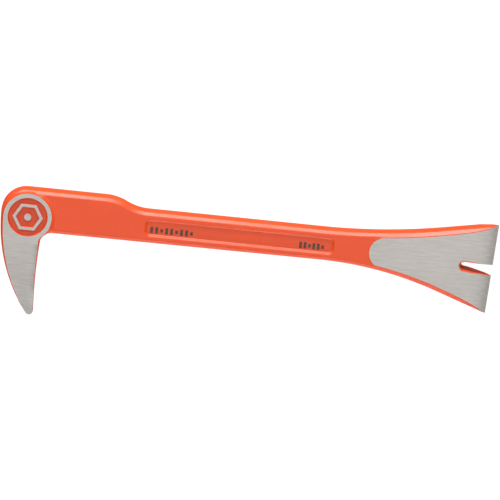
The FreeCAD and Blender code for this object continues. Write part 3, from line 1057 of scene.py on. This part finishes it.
def film_piece(body, outer, inner, bare, zone, group, name, material, node):
    """The coat over one stretch, as a closed film that runs out where the steel is bare."""
    chosen = [i for i in range(len(body.faces))
              if body.zone[i] == zone and body.group[i] == group and body.kind[i] < 2]
    faces = [body.faces[i] for i in chosen]
    normals = [body.normals[i] for i in chosen]
    count = len(outer)

    def under(corner):
        return corner if bare[corner] else corner + count

    rims = []
    for loop in open_loops(faces):
        for a, b in zip(loop, loop[1:] + loop[:1]):
            rim = [a, b, under(b), under(a)]
            rim = [corner for i, corner in enumerate(rim) if corner != rim[i - 1]]
            if len(rim) > 2:
                rims.append(tuple(rim))
    lining = [tuple(under(corner) for corner in face[::-1]) for face in faces]
    hidden = lining + rims
    normals += [flat_normals(len(face)) for face in hidden]
    places = np.concatenate([outer, inner])
    places, faces, normals = compact(places, faces + hidden, normals)
    return make_piece(name, places, faces, normals, material, "powder_coat", [node])


def make_bar(materials):
    body = whole_body()
    outer = np.concatenate(body.places)
    bare = np.zeros(len(outer), bool)
    for face, kind in zip(body.faces, body.kind):
        if kind == 2:
            bare[list(face)] = True
    inner = outer - np.concatenate(body.shrink) * np.where(bare, 0, FILM)[:, None]
    zones = ("claw", "head", "neck", "shank", "blade")
    for zone, node in enumerate(zones):
        steel = materials["claw_steel"] if zone < 2 else materials["blade_steel"]
        steel_piece(body, inner, zone, node + "_steel", steel, node)
        film_piece(body, outer, inner, bare, zone, "outer", node + "_film", materials["coat"],
                   node + "_coat")
    for group in ("front_pocket", "back_pocket"):
        film_piece(body, outer, inner, bare, 1, group, group + "_film", materials["coat"],
                   group + "_coat")
    film_piece(body, outer, inner, bare, 4, "notch", "notch_film", materials["coat"], "notch_coat")


def lofted(rows, wrap):
    """Faces between rows of points, the last row joined to the first or both capped."""
    count = len(rows[0])
    faces = []
    last = len(rows) if wrap else len(rows) - 1
    for r in range(last):
        low = r * count
        high = (r + 1) % len(rows) * count
        for i in range(count):
            j = (i + 1) % count
            faces.append((low + i, low + j, high + j, high + i))
    if not wrap:
        faces.append(tuple(range(count))[::-1])
        faces.append(tuple(range((len(rows) - 1) * count, len(rows) * count)))
    return np.concatenate(rows), faces


def row_at(loop, height):
    return np.column_stack([loop, np.full(len(loop), height)])


def hexagon(flats, corner):
    """Six-sided loop with small round corners, counter-clockwise."""
    reach = flats / math.sqrt(3) - corner * 2 / math.sqrt(3)
    parts = [arc(on_circle((0, 0), reach, 60 * k), corner, 60 * k - 30, 60 * k + 30, corner / 6)
             for k in range(6)]
    return np.concatenate(parts)


def disc(radius):
    return arc((0, 0), radius, 0, 360, 0.3)


def ring_rows(outer, inner, low):
    """Rows round a ring, flat at the ground face, whose upper edges are slightly broken."""
    shoulder = BOSS_HALF - RING_SOFT
    return [
        row_at(outer(0.0), low),
        row_at(outer(0.0), shoulder),
        row_at(outer(-RING_SOFT), BOSS_HALF),
        row_at(inner(RING_SOFT), BOSS_HALF),
        row_at(inner(0.0), shoulder),
        row_at(inner(0.0), low),
    ]


def joined(parts):
    """Several (points, faces) as one."""
    places = []
    faces = []
    for points, found in parts:
        first = sum(len(part) for part in places)
        places.append(points)
        faces += [tuple(first + corner for corner in face) for face in found]
    return np.concatenate(places), faces


def turned_over(parts):
    """The same shape on the back of the bar."""
    points, faces = parts
    return points * (1, 1, -1), [face[::-1] for face in faces]


def sharpen(piece):
    """Smooth shading that breaks at the piece's real edges."""
    piece.data.set_sharp_from_angle(angle=math.radians(35))


def device_loops():
    """Outlines of the ring, from its outer coat inwards, as functions of their growth."""
    inner_flats = RING_FLATS - 2 * RING_WIDTH
    flats = (RING_FLATS, RING_FLATS - 2 * FILM, inner_flats + 2 * FILM, inner_flats)
    return [lambda grow, size=size, corner=corner: hexagon(size + 2 * grow, corner)
            for size, corner in zip(flats, RING_CORNERS)]


def device_core():
    """Plain six-sided ring and dot: the bare steel."""
    low = POCKET_FLOOR - RING_FOOT
    _, outer, inner, _ = device_loops()
    ring = lofted(ring_rows(outer, inner, low), True)
    dot = disc(DOT_RADIUS - FILM)
    return joined([ring, lofted([row_at(dot, low), row_at(dot, BOSS_HALF)], False)])


def device_skirt():
    """The coat round the sides of the ring and of the dot."""
    loops = device_loops()
    loops.append(lambda grow: disc(DOT_RADIUS + grow))
    loops.append(lambda grow: disc(DOT_RADIUS - FILM + grow))
    return joined([lofted(ring_rows(outer, inner, POCKET_FLOOR - SUNK), True)
                   for outer, inner in zip(loops[::2], loops[1::2])])


def make_devices(materials):
    for side in ("front", "back"):
        core = device_core()
        skirt = device_skirt()
        if side == "back":
            core = turned_over(core)
            skirt = turned_over(skirt)
        sharpen(make_piece(side + "_ring", *core, None, materials["claw_steel"], "forged_steel",
                           [side + "_emblem"]))
        sharpen(make_piece(side + "_ring_skirt", *skirt, None, materials["coat"], "powder_coat",
                           []))


def rounded_bar(low, high, corner):
    """Rounded rectangle, counter-clockwise."""
    centres = (
        ((high[0] - corner, low[1] + corner), -90),
        ((high[0] - corner, high[1] - corner), 0),
        ((low[0] + corner, high[1] - corner), 90),
        ((low[0] + corner, low[1] + corner), 180),
    )
    return np.concatenate([on_circle(centre, corner, np.linspace(start, start + 90, 6))
                           for centre, start in centres])


def stroke(low, high):
    floor = BODY_HALF - PANEL_DEPTH
    top = floor + MARK_THICKNESS
    low = np.array(low)
    high = np.array(high)
    base = rounded_bar(low, high, MARK_CORNER)
    upper = rounded_bar(low + MARK_SOFT, high - MARK_SOFT, MARK_CORNER - MARK_SOFT)
    rows = [row_at(base, floor - SUNK), row_at(base, top - MARK_SOFT), row_at(upper, top)]
    return lofted(rows, False)


def make_marks(materials):
    """Rows of plain upright strokes on the panel's floor, every third one short."""
    for name, (start, end, count) in (("left", LEFT_MARK), ("right", RIGHT_MARK)):
        pitch = (end - start - MARK_STROKE) / (count - 1)
        strokes = []
        for number in range(count):
            height = MARK_HEIGHT * (MARK_SHORT if number % 3 == 2 else 1.0)
            x = start + pitch * number
            low = (x, MARK_Y - height / 2)
            high = (x + MARK_STROKE, MARK_Y + height / 2)
            strokes.append(stroke(low, high))
        sharpen(make_piece(name + "_strokes", *joined(strokes), None, materials["ink"],
                           "mark_ink", [name + "_mark"]))


# Materials --------------------------------------------------------------------

def new_material(name):
    material = bpy.data.materials.new(name)
    material.use_nodes = True
    tree = material.node_tree
    return material, tree, tree.nodes["Principled BSDF"]


def add_node(tree, kind, **inputs):
    """A shader node; an underscore stands for the space in an input's name."""
    node = tree.nodes.new(kind)
    for name, value in inputs.items():
        node.inputs[name.replace("_", " ")].default_value = value
    return node


def place_node(tree, scale, turn=0.0):
    """Object coordinates, turned about Z and stretched."""
    where = tree.nodes.new("ShaderNodeTexCoord")
    mapping = add_node(tree, "ShaderNodeMapping", Rotation=(0, 0, math.radians(turn)), Scale=scale)
    tree.links.new(where.outputs["Object"], mapping.inputs["Vector"])
    return mapping.outputs["Vector"]


def noise(tree, vector, scale, detail=4.0, rough=0.55):
    node = add_node(tree, "ShaderNodeTexNoise", Scale=scale, Detail=detail, Roughness=rough)
    tree.links.new(vector, node.inputs["Vector"])
    return node.outputs["Fac"]


def ramp(tree, value, low, high, start, end):
    node = add_node(tree, "ShaderNodeMapRange", From_Min=low, From_Max=high, To_Min=start,
                    To_Max=end)
    tree.links.new(value, node.inputs["Value"])
    return node.outputs["Result"]


def colours(tree, value, stops):
    node = tree.nodes.new("ShaderNodeValToRGB")
    band = node.color_ramp
    while len(band.elements) < len(stops):
        band.elements.new(0.5)
    for element, (place, colour) in zip(band.elements, stops):
        element.position = place
        element.color = (*colour, 1)
    tree.links.new(value, node.inputs["Fac"])
    return node.outputs["Color"]


def multiplied(tree, first, second):
    node = tree.nodes.new("ShaderNodeMix")
    node.data_type = "RGBA"
    node.blend_type = "MULTIPLY"
    node.inputs[0].default_value = 1.0
    tree.links.new(first, node.inputs[6])
    tree.links.new(second, node.inputs[7])
    return node.outputs[2]


def bump(tree, height, strength, distance, under=None):
    node = add_node(tree, "ShaderNodeBump", Strength=strength, Distance=distance)
    tree.links.new(height, node.inputs["Height"])
    if under is not None:
        tree.links.new(under, node.inputs["Normal"])
    return node.outputs["Normal"]


def coat_material():
    """Semi-gloss powder coat: orange-peel, cloudy colour and slightly uneven gloss."""
    material, tree, shader = new_material("orange_powder_coat")
    plain = place_node(tree, (1, 1, 1))
    cloud = noise(tree, plain, 55.0, 3.0)
    fleck = noise(tree, plain, 1500.0, 2.0)
    base = colours(tree, cloud, ((0.25, (0.47, 0.043, 0.0066)), (0.75, (0.512, 0.0498, 0.009))))
    speck = colours(tree, fleck, ((0.35, (0.94, 0.92, 0.90)), (0.65, (1.0, 1.0, 1.0))))
    tree.links.new(multiplied(tree, base, speck), shader.inputs["Base Color"])
    tree.links.new(ramp(tree, cloud, 0.3, 0.7, 0.27, 0.35), shader.inputs["Roughness"])
    peel = noise(tree, plain, 1100.0, 2.0, 0.4)
    swell = noise(tree, plain, 240.0, 2.0, 0.4)
    first = bump(tree, swell, 0.25, 0.00012)
    tree.links.new(bump(tree, peel, 0.2, 0.00004, first), shader.inputs["Normal"])
    shader.inputs["IOR"].default_value = 1.5
    return material


def steel_material(name, turn, streak_turn):
    """Belt-ground steel: fine streaks of several lengths over a faint mottle."""
    material, tree, shader = new_material(name)
    along = place_node(tree, (0.05, 1, 1), turn)
    slanted = place_node(tree, (0.09, 1, 1), streak_turn)
    plain = place_node(tree, (1, 1, 1))
    fine = noise(tree, along, 5200.0, 3.0, 0.6)
    broad = noise(tree, slanted, 1500.0, 4.0, 0.6)
    mottle = noise(tree, plain, 90.0, 3.0)
    tone = colours(tree, broad, ((0.25, (0.68, 0.65, 0.61)), (0.5, (0.80, 0.76, 0.715)),
                                 (0.75, (0.91, 0.865, 0.815))))
    thread = colours(tree, fine, ((0.3, (0.90, 0.90, 0.90)), (0.7, (1.0, 1.0, 1.0))))
    patch = colours(tree, mottle, ((0.3, (0.95, 0.95, 0.95)), (0.7, (1.0, 1.0, 1.0))))
    streaked = multiplied(tree, tone, thread)
    tree.links.new(multiplied(tree, streaked, patch), shader.inputs["Base Color"])
    tree.links.new(ramp(tree, broad, 0.3, 0.7, 0.40, 0.52), shader.inputs["Roughness"])
    first = bump(tree, broad, 0.35, 0.00003)
    tree.links.new(bump(tree, fine, 0.3, 0.00001, first), shader.inputs["Normal"])
    shader.inputs["Metallic"].default_value = 1.0
    return material


def ink_material():
    """Matt dark fill, worn thin in places."""
    material, tree, shader = new_material("dark_fill")
    plain = place_node(tree, (1, 1, 1))
    wear = noise(tree, plain, 1300.0, 4.0, 0.6)
    shade = colours(tree, wear, ((0.35, (0.035, 0.024, 0.018)), (0.7, (0.09, 0.045, 0.03))))
    tree.links.new(shade, shader.inputs["Base Color"])
    tree.links.new(ramp(tree, wear, 0.3, 0.7, 0.6, 0.8), shader.inputs["Roughness"])
    tree.links.new(bump(tree, wear, 0.3, 0.00003), shader.inputs["Normal"])
    return material


def floor_material():
    material, tree, shader = new_material("pale_floor")
    plain = place_node(tree, (1, 1, 1))
    cloud = noise(tree, plain, 6.0, 3.0)
    shade = colours(tree, cloud, ((0.3, (0.20, 0.20, 0.20)), (0.7, (0.22, 0.22, 0.22))))
    tree.links.new(shade, shader.inputs["Base Color"])
    shader.inputs["Emission Color"].default_value = (1.0, 1.0, 1.0, 1.0)
    shader.inputs["Emission Strength"].default_value = 0.9
    shader.inputs["Roughness"].default_value = 0.9
    shader.inputs["Specular IOR Level"].default_value = 0.1
    return material


# Stage ------------------------------------------------------------------------

def make_floor():
    half = 4.0
    depth = -0.0003
    mesh = bpy.data.meshes.new("floor")
    corners = [(-half, -half, depth), (half, -half, depth), (half, half, depth),
               (-half, half, depth)]
    mesh.from_pydata(corners, [], [(0, 1, 2, 3)])
    mesh.materials.append(floor_material())
    floor = bpy.data.objects.new("floor", mesh)
    bpy.context.scene.collection.objects.link(floor)
    floor.visible_glossy = False


def make_light(name, place, size, power, aim_x=0.0, mirrored=True):
    """A soft panel aimed at the bar; mirrored says whether glossy surfaces reflect it."""
    data = bpy.data.lights.new(name, "AREA")
    data.shape = "RECTANGLE"
    data.size = size[0]
    data.size_y = size[1]
    data.energy = power
    lamp = bpy.data.objects.new(name, data)
    lamp.location = place
    way = Vector((aim_x, 0, 0)) - Vector(place)
    lamp.rotation_euler = way.to_track_quat("-Z", "Y").to_euler()
    lamp.visible_glossy = mirrored
    bpy.context.scene.collection.objects.link(lamp)


def make_world():
    world = bpy.data.worlds.new("studio")
    bpy.context.scene.world = world
    world.use_nodes = True
    sky = world.node_tree.nodes["Background"]
    sky.inputs["Color"].default_value = (1.0, 1.0, 1.0, 1.0)
    sky.inputs["Strength"].default_value = 0.1


def make_camera():
    """Long lens, tilted towards the upper edge, the bar running slightly downhill."""
    tilt = math.radians(16.6)
    roll = math.radians(5.8)
    width = 0.2045
    distance = 6.0
    aim = Vector(to_world((91.8, -4.33, BOSS_HALF)).tolist())
    back = Vector((0, math.sin(tilt), math.cos(tilt)))
    right = Vector((1, 0, 0))
    up = Vector((0, math.cos(tilt), -math.sin(tilt)))
    turned_right = right * math.cos(roll) + up * math.sin(roll)
    turned_up = up * math.cos(roll) - right * math.sin(roll)
    data = bpy.data.cameras.new("camera")
    data.sensor_width = 36.0
    data.lens = data.sensor_width * distance / width
    data.clip_start = 0.1
    data.clip_end = 40.0
    camera = bpy.data.objects.new("camera", data)
    turn = Matrix((turned_right, turned_up, back)).transposed().to_4x4()
    camera.matrix_world = Matrix.Translation(aim + back * distance) @ turn
    bpy.context.scene.collection.objects.link(camera)
    bpy.context.scene.camera = camera


def make_stage():
    bpy.context.scene.view_settings.view_transform = "Standard"
    make_floor()
    make_world()
    make_light("upper_strip", (-0.24, 0.85, 1.1), (0.9, 0.32), 13.0, aim_x=-0.1)
    make_light("overhead", (0.2, -0.25, 1.65), (1.4, 1.0), 4.5, aim_x=0.1)
    make_light("front_card", (0.0, -1.6, 0.45), (2.4, 0.9), 8.0)
    make_light("rear_card", (0.0, 1.6, 0.45), (2.4, 0.9), 3.0)
    make_light("left_fill", (-1.3, 0.2, 0.6), (0.8, 0.5), 1.0)
    make_light("front_fill", (0.1, -1.35, 0.22), (1.6, 0.4), 29.0, mirrored=False)
    make_light("rear_fill", (0.0, 1.35, 0.24), (1.6, 0.4), 49.0, mirrored=False)
    make_light("top_fill", (0.0, 0.3, 1.5), (1.2, 0.8), 8.5, mirrored=False)
    make_camera()


def make_materials():
    return {
        "coat": coat_material(),
        "claw_steel": steel_material("ground_steel_claw", 4.0, 9.0),
        "blade_steel": steel_material("ground_steel_blade", 5.0, 11.0),
        "ink": ink_material(),
    }


def main():
    materials = make_materials()
    make_bar(materials)
    make_devices(materials)
    make_marks(materials)
    make_stage()
    bpy.context.view_layer.update()


main()
